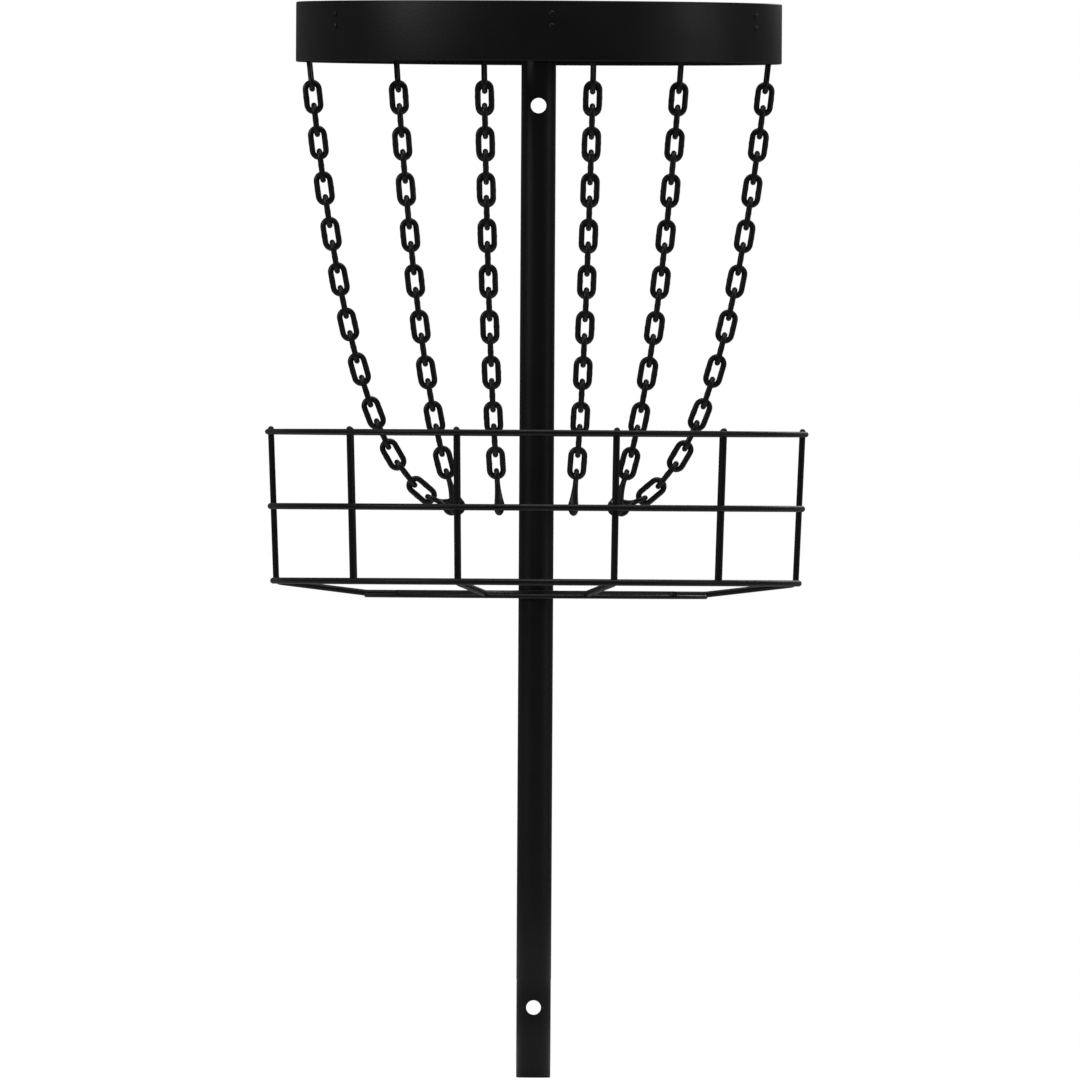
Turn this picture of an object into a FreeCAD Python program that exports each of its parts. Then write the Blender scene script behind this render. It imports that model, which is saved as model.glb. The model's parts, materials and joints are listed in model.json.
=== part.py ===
"""Disc golf basket, full size, in millimetres.

Frame: the origin is the centre of the pole's lower end on the ground, +Z is up and the front faces -Y.
An azimuth of 0 degrees points to the front (-Y) and 90 degrees points to +X.
"""
import FreeCAD, Part
import math
import os

import Sketcher
from FreeCAD import Placement, Rotation, Vector

SIZES = {
    # pole: a plain tube, with its foot turned down to enter a ground sleeve
    "pole_radius": 21.2,
    "pole_bore_radius": 18.2,
    "pole_length": 1300.0,
    "foot_radius": 20.95,
    "foot_length": 120.0,
    "foot_bevel": 1.0,
    "foot_hole_radius": 9.0,
    "foot_hole_height": 85.4,
    "upper_hole_radius": 9.5,
    "upper_hole_height": 1185.8,
    # cap that closes the pole's upper end
    "cap_plug_radius": 18.1,
    "cap_plug_depth": 20.0,
    "cap_rim_height": 4.0,
    "cap_crown_radius": 16.0,
    "cap_crown_height": 2.0,
    # M8 bolt and nut that fix the upper collar
    "bolt_radius": 4.0,
    "bolt_hole_radius": 4.2,
    "bolt_head_circumradius": 7.5,
    "bolt_head_height": 5.3,
    "nut_height": 6.5,
    "bolt_tail": 2.5,
    # collar, arms, hanger ring and band at the top
    "collar_bore_radius": 21.4,
    "support_hub_radius": 27.0,
    "support_hub_base": 1242.0,
    "support_hub_height": 60.0,
    "support_bolt_height": 1256.0,
    "arm_thickness": 5.0,
    "arm_depth": 30.0,
    "arm_base": 1272.0,
    "arm_tab_angle": 5.4,
    "band_radius": 296.5,
    "band_thickness": 1.5,
    "band_base": 1237.7,
    "band_height": 73.2,
    "rivet_radius": 2.0,
    "rivet_head_radius": 4.0,
    "rivet_head_height": 1.6,
    "rivet_offset": 16.0,
    "rivet_rise": 7.5,
    "hanger_inner_radius": 268.0,
    "inner_hanger_inner_radius": 174.0,
    "inner_hanger_outer_radius": 200.0,
    "hanger_thickness": 4.0,
    # wire staples that the chains hang from
    "eye_wire_radius": 2.5,
    "eye_bend_radius": 8.9,
    "eye_height": 1252.0,
    "outer_eye_circle_radius": 283.0,
    "inner_eye_circle_radius": 187.0,
    # chain: welded links between two S hooks
    "link_wire_radius": 3.45,
    "link_bend_radius": 8.25,
    "link_inner_length": 28.4,
    "link_pitch": 28.1,
    "outer_link_count": 19,
    "inner_link_count": 17,
    "top_hook_wire_radius": 3.5,
    "bottom_hook_wire_radius": 3.2,
    "hook_loop_radius": 4.4,
    "hook_opening": 50.0,
    "top_hook_inner_length": 47.0,
    "inner_bottom_hook_inner_length": 47.0,
    "outer_bottom_hook_inner_length": 33.0,
    "hook_links_per_length": 0.029,
    "eye_play": 0.5,
    "ring_play": 1.0,
    "hook_link_play": 0.5,
    "front_chain_top_azimuth": 21.0,
    "front_chain_bottom_azimuth": 25.4,
    "side_chain_top_azimuth": 69.0,
    "side_chain_bottom_azimuth": 66.5,
    "outer_chain_top_azimuth": 84.0,
    "outer_chain_bottom_azimuth": 78.0,
    "chain_ring_radius": 105.0,
    "chain_ring_wire_radius": 2.6,
    # cage: wire rings outside leaning wire ribs
    "rim_wire_radius": 3.4,
    "cage_ring_wire_radius": 3.8,
    "rim_radius": 328.3,
    "rim_height": 786.2,
    "middle_ring_radius": 324.2,
    "middle_ring_height": 695.4,
    "bottom_ring_radius": 320.5,
    "bottom_ring_height": 604.5,
    "rib_wire_radius": 3.75,
    "rib_top_radius": 324.3,
    "rib_top_height": 789.3,
    "rib_corner_radius": 316.8,
    "rib_corner_height": 603.5,
    "rib_corner_bend": 7.0,
    "rib_floor_bend": 30.0,
    "upright_base": 601.5,
    "inner_rib_azimuth": 17.5,
    "upright_azimuth": 44.6,
    "outer_rib_azimuth": 90.0,
    "floor_height": 590.3,
    "floor_radius": 207.0,
    "floor_ring_wire_radius": 2.5,
    "floor_ring_height": 587.2,
    "inner_floor_ring_radius": 115.0,
    "floor_spoke_azimuth": 53.75,
    "weld_gap": 0.02,
    # collar that holds the cage on the pole
    "basket_hub_radius": 28.0,
    "basket_hub_base": 584.7,
    "basket_hub_height": 9.6,
    "grub_radius": 2.5,
    "grub_length": 6.0,
    "grub_socket_radius": 1.25,
    "grub_socket_depth": 2.5,
}
ARM_COUNT = 6

# settings of the solver that finds how a chain hangs; pulls are counted in weights of one link
FIRST_LEVEL_PULL = 2.0
FIRST_UPRIGHT_PULL = 1.0
SOLVER_STEPS = 200
SOLVER_TOLERANCE = 1e-9
SOLVER_NUDGE = 1e-6
SOLVER_LONGEST_STEP = 0.25

# largest difference between two unit vectors that count as one direction
SAME_DIRECTION = 1e-6

doc = FreeCAD.newDocument("disc_golf_basket")
PARTS = []


# ---- document helpers ----

def write_sheet():
    """Put every driving dimension in the sheet, named by its alias."""
    sheet = doc.addObject("Spreadsheet::Sheet", "sizes")
    for row, (alias, value) in enumerate(SIZES.items(), start=1):
        sheet.set(f"A{row}", alias)
        sheet.set(f"B{row}", str(value))
        sheet.setAlias(f"B{row}", alias)
    doc.recompute()
    return sheet


SHEET = write_sheet()


def size(alias):
    """Read one dimension back from the sheet."""
    return float(SHEET.get(alias))


def bind(thing, **expressions):
    """Bind properties of an object to expressions over the sheet's cells."""
    for name, expression in expressions.items():
        thing.setExpression(name.replace("__", "."), expression)


def sub_part(thing, label):
    """Name a finished sub-part and put it on the list to be written."""
    thing.Label = label
    PARTS.append(thing)
    return thing


def new_body(name):
    return doc.addObject("PartDesign::Body", name)


def new_sketch(body, role, name):
    """Make a sketch on one of the body's own origin planes."""
    sketch = body.newObject("Sketcher::SketchObject", name)
    plane = next(item for item in body.Origin.OriginFeatures if item.Role == role)
    sketch.AttachmentSupport = [(plane, "")]
    sketch.MapMode = "FlatFace"
    return sketch


def fix_point(sketch, geometry, corner, expressions, name):
    """Hold one point of a sketch at a place given by two expressions."""
    for kind, axis, expression in zip(("DistanceX", "DistanceY"), (-2, -1), expressions):
        value = float(sketch.evalExpression(expression))
        if value == 0.0:
            sketch.addConstraint(Sketcher.Constraint("PointOnObject", geometry, corner, axis))
            continue
        index = sketch.addConstraint(Sketcher.Constraint(kind, -1, 1, geometry, corner, value))
        label = f"{name}_{kind[-1].lower()}"
        sketch.renameConstraint(index, label)
        sketch.setExpression(f"Constraints.{label}", expression)


def draw_outline(sketch, corners):
    """Draw a closed outline of straight lines through corners given as expressions."""
    spots = [Vector(*(float(sketch.evalExpression(part)) for part in corner), 0) for corner in corners]
    lines = []
    for here, there in zip(spots, spots[1:] + spots[:1]):
        lines.append(sketch.addGeometry(Part.LineSegment(here, there)))
    for line, following in zip(lines, lines[1:] + lines[:1]):
        sketch.addConstraint(Sketcher.Constraint("Coincident", line, 2, following, 1))
    for line, corner in zip(lines, corners):
        fix_point(sketch, line, 1, corner, f"corner{line}")


def draw_circle(sketch, radius, centre):
    """Draw a circle whose radius and centre are expressions."""
    value = float(sketch.evalExpression(radius))
    spot = Vector(*(float(sketch.evalExpression(part)) for part in centre), 0)
    circle = sketch.addGeometry(Part.Circle(spot, Vector(0, 0, 1), value))
    index = sketch.addConstraint(Sketcher.Constraint("Radius", circle, value))
    sketch.renameConstraint(index, f"radius{circle}")
    sketch.setExpression(f"Constraints.radius{circle}", radius)
    fix_point(sketch, circle, 3, centre, f"centre{circle}")


def turned_body(name, corners):
    """Make a body by turning an outline (radius, height) about the Z axis."""
    body = new_body(name)
    sketch = new_sketch(body, "XZ_Plane", f"{name}_outline")
    draw_outline(sketch, corners)
    turn = body.newObject("PartDesign::Revolution", f"{name}_turned")
    turn.Profile = sketch
    turn.ReferenceAxis = (sketch, ["V_Axis"])
    turn.Angle = 360.0
    doc.recompute()
    return body


def drill(body, name, circles, both_sides=True):
    """Drill holes along Y; circles are (radius, (x, z)) expressions."""
    before = body.Shape.Volume
    sketch = new_sketch(body, "XZ_Plane", f"{name}_sketch")
    for radius, centre in circles:
        draw_circle(sketch, radius, centre)
    pocket = body.newObject("PartDesign::Pocket", name)
    pocket.Profile = sketch
    pocket.Type = "ThroughAll"
    pocket.SideType = "Symmetric" if both_sides else "One side"
    pocket.Reversed = not both_sides
    doc.recompute()
    if body.Shape.Volume >= before:
        raise RuntimeError(f"{name} cut nothing")
    return pocket


def solid_feature(label, shape):
    """Make a sub-part from a shape worked out with Part's own functions."""
    feature = doc.addObject("Part::Feature", label)
    feature.Shape = shape
    feature.Placement = Placement()
    return sub_part(feature, label)


def wire_ring(label, radius, wire, height):
    """Make a plain wire ring from three cells of the sheet."""
    ring = doc.addObject("Part::Torus", label)
    bind(ring, Radius1=f"sizes.{radius}", Radius2=f"sizes.{wire}")
    bind(ring, Placement__Base__z=f"sizes.{height}")
    return sub_part(ring, label)


def around(shape, azimuths):
    """Copy a shape made at azimuth 0 to several azimuths, as separate solids."""
    copies = []
    for azimuth in azimuths:
        turn = Placement(Vector(), Rotation(Vector(0, 0, 1), azimuth))
        turned = shape.copy()
        turned.Placement = turn.multiply(shape.Placement)
        copies.append(turned)
    return Part.makeCompound(copies)


def at_azimuth(radius, azimuth, height):
    angle = math.radians(azimuth)
    return Vector(radius * math.sin(angle), -radius * math.cos(angle), height)


def round_bar(edges, radius):
    """Sweep a round bar of the given radius along edges that join smoothly."""
    path = Part.Wire(edges)
    start = edges[0].valueAt(edges[0].FirstParameter)
    heading = edges[0].tangentAt(edges[0].FirstParameter)
    section = Part.Wire([Part.makeCircle(radius, start, heading)])
    return path.makePipeShell([section], True, False)


# ---- pole and its cap ----

def make_pole():
    body = turned_body("pole_body", [
        ("sizes.pole_bore_radius", "0"),
        ("sizes.foot_radius - sizes.foot_bevel", "0"),
        ("sizes.foot_radius", "sizes.foot_bevel"),
        ("sizes.foot_radius", "sizes.foot_length"),
        ("sizes.pole_radius", "sizes.foot_length"),
        ("sizes.pole_radius", "sizes.pole_length"),
        ("sizes.pole_bore_radius", "sizes.pole_length"),
    ])
    drill(body, "cross_holes", [
        ("sizes.foot_hole_radius", ("0", "sizes.foot_hole_height")),
        ("sizes.upper_hole_radius", ("0", "sizes.upper_hole_height")),
        ("sizes.bolt_hole_radius", ("0", "sizes.support_bolt_height")),
    ])
    sub_part(body, "pole")


def make_pole_cap():
    body = turned_body("pole_cap_body", [
        ("0", "sizes.pole_length - sizes.cap_plug_depth"),
        ("sizes.cap_plug_radius", "sizes.pole_length - sizes.cap_plug_depth"),
        ("sizes.cap_plug_radius", "sizes.pole_length"),
        ("sizes.pole_radius", "sizes.pole_length"),
        ("sizes.pole_radius", "sizes.pole_length + sizes.cap_rim_height"),
        ("sizes.cap_crown_radius", "sizes.pole_length + sizes.cap_rim_height + sizes.cap_crown_height"),
        ("0", "sizes.pole_length + sizes.cap_rim_height + sizes.cap_crown_height"),
    ])
    sub_part(body, "pole_cap")


# ---- top: collar, bolt, arms, hanger ring, eyes and band ----

def make_support_hub():
    body = turned_body("support_hub_body", [
        ("sizes.collar_bore_radius", "sizes.support_hub_base"),
        ("sizes.support_hub_radius", "sizes.support_hub_base"),
        ("sizes.support_hub_radius", "sizes.support_hub_base + sizes.support_hub_height"),
        ("sizes.collar_bore_radius", "sizes.support_hub_base + sizes.support_hub_height"),
    ])
    drill(body, "support_bolt_hole", [("sizes.bolt_hole_radius", ("0", "sizes.support_bolt_height"))])
    sub_part(body, "support_hub")


def make_support_bolt():
    """Hexagon bolt along Y with its head in front and its nut behind."""
    head = doc.addObject("Part::Prism", "bolt_head")
    head.Polygon = 6
    bind(head, Circumradius="sizes.bolt_head_circumradius", Height="sizes.bolt_head_height")
    shank = doc.addObject("Part::Cylinder", "bolt_shank")
    bind(shank, Radius="sizes.bolt_radius")
    bind(shank, Height="2 * sizes.support_hub_radius + sizes.nut_height + sizes.bolt_tail")
    bolt = doc.addObject("Part::Fuse", "support_bolt")
    bolt.Base = head
    bolt.Tool = shank
    rearward = Rotation(Vector(1, 0, 0), -90)
    head.Placement = Placement(Vector(), rearward)
    shank.Placement = Placement(Vector(), rearward)
    bind(head, Placement__Base__y="-sizes.support_hub_radius - sizes.bolt_head_height")
    bind(shank, Placement__Base__y="-sizes.support_hub_radius")
    bind(bolt, Placement__Base__z="sizes.support_bolt_height")
    sub_part(bolt, "support_hub_bolt")

    blank = doc.addObject("Part::Prism", "nut_blank")
    blank.Polygon = 6
    bind(blank, Circumradius="sizes.bolt_head_circumradius", Height="sizes.nut_height")
    thread = doc.addObject("Part::Cylinder", "nut_thread")
    bind(thread, Radius="sizes.bolt_radius + sizes.weld_gap", Height="sizes.nut_height")
    nut = doc.addObject("Part::Cut", "support_nut")
    nut.Base = blank
    nut.Tool = thread
    nut.Placement = Placement(Vector(), rearward)
    bind(nut, Placement__Base__y="sizes.support_hub_radius")
    bind(nut, Placement__Base__z="sizes.support_bolt_height")
    sub_part(nut, "support_hub_nut")


def rivet_heights():
    middle = size("arm_base") + size("arm_depth") / 2
    return middle - size("rivet_rise"), middle + size("rivet_rise")


def make_support_arms():
    """Six flat bars on edge, welded to the collar, each with a tab bent along the band."""
    depth = size("arm_depth")
    outside = size("band_radius") - size("band_thickness") - size("weld_gap")
    inside = outside - size("arm_thickness")
    half = size("arm_thickness") / 2
    bar = Part.makeBox(2 * half, outside - half, depth, Vector(-half, -outside + half, 0))
    sector = Part.makeCylinder(outside, depth, Vector(), Vector(0, 0, 1), size("arm_tab_angle"))
    hollow = Part.makeCylinder(inside, depth)
    tab = sector.cut(hollow)
    tab.rotate(Vector(), Vector(0, 0, 1), -90 - math.degrees(half / outside))
    arm = bar.fuse(tab).removeSplitter()
    arm = arm.cut(Part.makeCylinder(size("support_hub_radius") + size("weld_gap"), depth))
    arm.translate(Vector(0, 0, size("arm_base")))
    hole_radius = size("rivet_radius") + size("weld_gap")
    for height in rivet_heights():
        spot = Vector(size("rivet_offset"), 0, height)
        arm = arm.cut(Part.makeCylinder(hole_radius, outside + 1, spot, Vector(0, -1, 0)))
    solid_feature("support_arms", around(arm.Solids[0], arm_azimuths()))


def arm_azimuths():
    return [360.0 * number / ARM_COUNT for number in range(ARM_COUNT)]


def make_top_band():
    body = turned_body("top_band_body", [
        ("sizes.band_radius - sizes.band_thickness", "sizes.band_base"),
        ("sizes.band_radius", "sizes.band_base"),
        ("sizes.band_radius", "sizes.band_base + sizes.band_height"),
        ("sizes.band_radius - sizes.band_thickness", "sizes.band_base + sizes.band_height"),
    ])
    middle = "sizes.arm_base + sizes.arm_depth / 2"
    holes = drill(body, "rivet_holes", [
        ("sizes.rivet_radius + sizes.weld_gap", ("sizes.rivet_offset", f"{middle} - sizes.rivet_rise")),
        ("sizes.rivet_radius + sizes.weld_gap", ("sizes.rivet_offset", f"{middle} + sizes.rivet_rise")),
    ], both_sides=False)
    pattern = body.newObject("PartDesign::PolarPattern", "rivet_hole_pattern")
    pattern.Originals = [holes]
    axis = next(item for item in body.Origin.OriginFeatures if item.Role == "Z_Axis")
    pattern.Axis = (axis, [""])
    pattern.Angle = 360.0
    pattern.Occurrences = ARM_COUNT
    body.Tip = pattern
    sub_part(body, "top_band")


def make_band_rivets():
    """Two rivets at each arm, with a bevelled head outside and a flat one inside."""
    offset = size("rivet_offset")
    band = size("band_radius")
    tab = band - size("band_thickness") - size("arm_thickness")
    outer = math.sqrt(band ** 2 - (offset - size("rivet_head_radius")) ** 2)
    inner = math.sqrt(tab ** 2 - (offset + size("rivet_head_radius")) ** 2) - 2 * size("weld_gap")
    height = size("rivet_head_height")
    forward = Vector(0, -1, 0)
    shank_radius, head_radius = size("rivet_radius"), size("rivet_head_radius")
    rivets = []
    for level in rivet_heights():
        inner_end = Vector(offset, -inner + height, level)
        outer_face = Vector(offset, -outer, level)
        shank = Part.makeCylinder(shank_radius, outer - inner + height, inner_end, forward)
        head = Part.makeCone(head_radius, shank_radius, height, outer_face, forward)
        tail = Part.makeCylinder(head_radius, height, inner_end, forward)
        rivets.append(shank.fuse([head, tail]).removeSplitter().Solids[0])
    groups = [around(rivet, arm_azimuths()).Solids for rivet in rivets]
    solid_feature("band_rivets", Part.makeCompound([rivet for group in groups for rivet in group]))


def hanger_ring(label, inner_radius, outer_radius):
    """A flat ring welded under the arms, between two radii given as sheet expressions."""
    base = "sizes.arm_base - sizes.hanger_thickness"
    top = "sizes.arm_base"
    corners = [(inner_radius, base), (outer_radius, base), (outer_radius, top), (inner_radius, top)]
    sub_part(turned_body(f"{label}_body", corners), label)


def make_hanger_rings():
    """The outer ring also stiffens the band, and the inner one carries the inner row of chains."""
    band_inside = "sizes.band_radius - sizes.band_thickness - sizes.weld_gap"
    hanger_ring("hanger_ring", "sizes.hanger_inner_radius", band_inside)
    hanger_ring("inner_hanger_ring", "sizes.inner_hanger_inner_radius", "sizes.inner_hanger_outer_radius")


def make_chain_eyes():
    """One U-shaped staple for each chain, all facing the front, welded under the hanger rings."""
    bend = size("eye_bend_radius")
    centre = size("eye_height") + bend
    top = size("arm_base") - size("hanger_thickness")
    corners = [Vector(-bend, 0, centre), Vector(0, 0, centre - bend), Vector(bend, 0, centre)]
    path = [
        Part.makeLine(Vector(-bend, 0, top), corners[0]),
        Part.Arc(*corners).toShape(),
        Part.makeLine(corners[2], Vector(bend, 0, top)),
    ]
    staple = round_bar(path, size("eye_wire_radius"))
    eyes = []
    for row, top_azimuth, _ in chain_places():
        eye = staple.copy()
        eye.translate(at_azimuth(size(f"{row}_eye_circle_radius"), top_azimuth, 0))
        eyes.append(eye)
    solid_feature("chain_eyes", Part.makeCompound(eyes))


# ---- chains ----

def chain_places():
    """Row, top azimuth and bottom azimuth of every chain, in order round the basket from the front."""
    quarter = [
        ("inner", size("front_chain_top_azimuth"), size("front_chain_bottom_azimuth")),
        ("inner", size("side_chain_top_azimuth"), size("side_chain_bottom_azimuth")),
        ("outer", size("outer_chain_top_azimuth"), size("outer_chain_bottom_azimuth")),
    ]
    half = quarter + [(row, 180 - top, 180 - bottom) for row, top, bottom in reversed(quarter)]
    return half + [(row, -top, -bottom) for row, top, bottom in reversed(half)]


def hanging_headings(segments, across, up):
    """Find how a chain of rigid segments hangs between two points.

    Each segment is (length, weight), listed from the bottom. In balance the pull along the chain has a
    constant level part, and its upright part grows by the weight of each segment. The two unknowns, the
    level pull and the upright pull at the bottom, are found by Newton's method. Returns (cosine, sine)
    of every segment's slope.
    """
    def span(level, upright):
        reach = [0.0, 0.0]
        headings = []
        for length, weight in segments:
            middle = upright + weight / 2
            pull = math.hypot(level, middle)
            headings.append((level / pull, middle / pull))
            reach[0] += length * level / pull
            reach[1] += length * middle / pull
            upright += weight
        return reach[0] - across, reach[1] - up, headings

    level, upright = FIRST_LEVEL_PULL, FIRST_UPRIGHT_PULL
    for _ in range(SOLVER_STEPS):
        error_x, error_z, headings = span(level, upright)
        if max(abs(error_x), abs(error_z)) < SOLVER_TOLERANCE:
            return headings
        by_level = span(level + SOLVER_NUDGE, upright)
        by_upright = span(level, upright + SOLVER_NUDGE)
        a, b = (by_level[0] - error_x) / SOLVER_NUDGE, (by_upright[0] - error_x) / SOLVER_NUDGE
        c, d = (by_level[1] - error_z) / SOLVER_NUDGE, (by_upright[1] - error_z) / SOLVER_NUDGE
        scale = a * d - b * c
        level += limited_step((b * error_z - d * error_x) / scale, level)
        upright += limited_step((c * error_x - a * error_z) / scale, level)
    raise RuntimeError("the chain's shape did not settle")


def limited_step(step, level):
    """Keep a solver step well below the present level pull, so that the pull stays positive."""
    longest = level * SOLVER_LONGEST_STEP
    return max(-longest, min(longest, step))


def chain_stations(row, top, bottom):
    """Points where the segments meet and each segment's direction, from the chain ring up to the eye."""
    bottom_hook = size(f"{row}_bottom_hook_inner_length")
    top_hook = size("top_hook_inner_length")
    lower = bottom_hook - size("chain_ring_wire_radius") - size("ring_play") - size("hook_link_play")
    upper = top_hook - size("eye_wire_radius") - size("eye_play") - size("hook_link_play")
    segments = [(lower, bottom_hook * size("hook_links_per_length"))]
    segments += [(size("link_pitch"), 1.0)] * int(size(f"{row}_link_count"))
    segments += [(upper, top_hook * size("hook_links_per_length"))]
    level = Vector(top.x - bottom.x, top.y - bottom.y, 0)
    outward = Vector(level).normalize()
    headings = hanging_headings(segments, level.Length, top.z - bottom.z)
    stations, directions = [bottom], []
    for (length, _), (cosine, sine) in zip(segments, headings):
        directions.append(outward * cosine + Vector(0, 0, sine))
        stations.append(stations[-1] + directions[-1] * length)
    return stations, directions


def rearward_across(direction):
    """Unit vector square to a direction and as near to +Y as can be."""
    rear = Vector(0, 1, 0)
    return (rear - direction * rear.dot(direction)).normalize()


def link_shape():
    """One link: round wire in a long loop in the XZ plane, standing along Z, centred on the origin."""
    bend = size("link_bend_radius")
    wire = size("link_wire_radius")
    straight = size("link_inner_length") / 2 + wire - bend
    right, left = Vector(bend, 0, 0), Vector(-bend, 0, 0)
    rise = Vector(0, 0, straight)
    crown = Vector(0, 0, straight + bend)
    path = [
        Part.makeLine(right - rise, right + rise),
        Part.Arc(right + rise, crown, left + rise).toShape(),
        Part.makeLine(left + rise, left - rise),
        Part.Arc(left - rise, -crown, right - rise).toShape(),
    ]
    return round_bar(path, wire)


def hook_shape(wire, centre, axis, upper_side, lower_side, inner_length):
    """An S hook: two round loops on one axis, each in its own plane through that axis.

    upper_side and lower_side point from the axis to the side on which the wire leaves each loop.
    """
    loop = size("hook_loop_radius") + wire
    rise = inner_length / 2 - size("hook_loop_radius")
    leave = math.pi - math.acos(loop / rise)
    tip = -math.radians(180 - size("hook_opening"))

    def on_loop(turn, side, sign):
        return centre + (axis * (rise + loop * math.cos(turn)) + side * (loop * math.sin(turn))) * sign

    def heading(side):
        return (axis * (rise + loop * math.cos(leave)) + side * (loop * math.sin(leave))).normalize()

    half_turn = (tip + leave) / 2
    start, finish = on_loop(leave, upper_side, 1), on_loop(leave, lower_side, -1)
    reach = (start - finish).Length / 3
    bridge = Part.LineSegment(start, finish)
    if not upper_side.isEqual(lower_side, SAME_DIRECTION):
        leave_upper = start - heading(upper_side) * reach
        leave_lower = finish + heading(lower_side) * reach
        bridge = Part.BezierCurve()
        bridge.setPoles([start, leave_upper, leave_lower, finish])
    path = [
        Part.Arc(on_loop(tip, upper_side, 1), on_loop(half_turn, upper_side, 1), start).toShape(),
        bridge.toShape(),
        Part.Arc(finish, on_loop(half_turn, lower_side, -1), on_loop(tip, lower_side, -1)).toShape(),
    ]
    return round_bar(path, wire)


def make_chain(number, row, top_azimuth, bottom_azimuth, link):
    """Hang one chain: links face-on and edge-on to the front in turn, between two S hooks."""
    top = at_azimuth(size(f"{row}_eye_circle_radius"), top_azimuth, size("eye_height"))
    bottom = at_azimuth(size("chain_ring_radius"), bottom_azimuth, size("middle_ring_height"))
    stations, directions = chain_stations(row, top, bottom)
    links = []
    for index, axis in enumerate(directions[1:-1], start=1):
        normal = rearward_across(axis)
        if index % 2 == 0:
            normal = normal.cross(axis)
        turn = Rotation(normal.cross(axis), normal, axis, "ZYX")
        piece = link.copy()
        piece.Placement = Placement((stations[index] + stations[index + 1]) / 2, turn)
        links.append(piece)
    hook_length = size(f"{row}_bottom_hook_inner_length")
    bottom_hook = bottom_hook_shape(bottom, directions[0], bottom_azimuth, hook_length)
    solid_feature(f"chain_{number:02d}_links", Part.makeCompound(links))
    solid_feature(f"chain_{number:02d}_top_hook", top_hook_shape(top, directions[-1]))
    solid_feature(f"chain_{number:02d}_bottom_hook", bottom_hook)


def top_hook_shape(top, axis):
    """The hook that hangs in an eye, both its loops facing the front."""
    inner_length = size("top_hook_inner_length")
    side = rearward_across(axis)
    reach = size("eye_wire_radius") + size("eye_play") - inner_length / 2
    return hook_shape(size("top_hook_wire_radius"), top + axis * reach, axis, side, side, inner_length)


def bottom_hook_shape(bottom, axis, azimuth, inner_length):
    """The hook that holds the chain ring, its lower loop turned to go square round the ring's wire."""
    side = rearward_across(axis)
    along_ring = at_azimuth(1.0, azimuth + 90, 0)
    loop_normal = (along_ring - axis * along_ring.dot(axis)).normalize()
    lower_side = loop_normal.cross(axis)
    if lower_side.dot(side) < 0:
        lower_side = -lower_side
    reach = inner_length / 2 - size("chain_ring_wire_radius") - size("ring_play")
    wire = size("bottom_hook_wire_radius")
    return hook_shape(wire, bottom + axis * reach, axis, side, lower_side, inner_length)


def make_chains():
    link = link_shape()
    for number, (row, top_azimuth, bottom_azimuth) in enumerate(chain_places(), start=1):
        make_chain(number, row, top_azimuth, bottom_azimuth, link)
    wire_ring("chain_ring", "chain_ring_radius", "chain_ring_wire_radius", "middle_ring_height")


# ---- cage ----

def make_cage_rings():
    wire_ring("rim_ring", "rim_radius", "rim_wire_radius", "rim_height")
    wire_ring("middle_ring", "middle_ring_radius", "cage_ring_wire_radius", "middle_ring_height")
    wire_ring("bottom_ring", "bottom_ring_radius", "cage_ring_wire_radius", "bottom_ring_height")
    floor = ("floor_ring_wire_radius", "floor_ring_height")
    wire_ring("floor_ring", "floor_radius", *floor)
    wire_ring("inner_floor_ring", "inner_floor_ring_radius", *floor)


def weld_seats():
    """What a cage wire is welded to: the rings that it sinks into and the collar that it ends on."""
    gap = size("weld_gap")
    rim, side = size("rim_wire_radius") + gap, size("cage_ring_wire_radius") + gap
    floor = size("floor_ring_wire_radius") + gap
    seats = [
        Part.makeTorus(size("rim_radius"), rim, Vector(0, 0, size("rim_height"))),
        Part.makeTorus(size("middle_ring_radius"), side, Vector(0, 0, size("middle_ring_height"))),
        Part.makeTorus(size("bottom_ring_radius"), side, Vector(0, 0, size("bottom_ring_height"))),
        Part.makeTorus(size("floor_radius"), floor, Vector(0, 0, size("floor_ring_height"))),
        Part.makeTorus(size("inner_floor_ring_radius"), floor, Vector(0, 0, size("floor_ring_height"))),
    ]
    base = Vector(0, 0, size("basket_hub_base"))
    collar = Part.makeCylinder(size("basket_hub_radius") + gap, size("basket_hub_height") + 1, base)
    return seats + [collar]


def bend_corner(before, corner, after, radius):
    """Round one corner of a path: the arc and the two points where it starts and ends."""
    back = (before - corner).normalize()
    onward = (after - corner).normalize()
    half = back.getAngle(onward) / 2
    reach = radius / math.tan(half)
    start, finish = corner + back * reach, corner + onward * reach
    inward = (back + onward).normalize()
    middle = corner + inward * (radius / math.sin(half) - radius)
    return Part.Arc(start, middle, finish).toShape(), start, finish


def finish_wire(bar):
    """Round a cage wire's upper end and seat the wire in what it is welded to."""
    tip = Vector(0, -size("rib_top_radius"), size("rib_top_height"))
    bar = bar.fuse(Part.makeSphere(size("rib_wire_radius"), tip))
    seated = bar.cut(weld_seats())
    return max(seated.Solids, key=lambda solid: solid.Volume)


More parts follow.
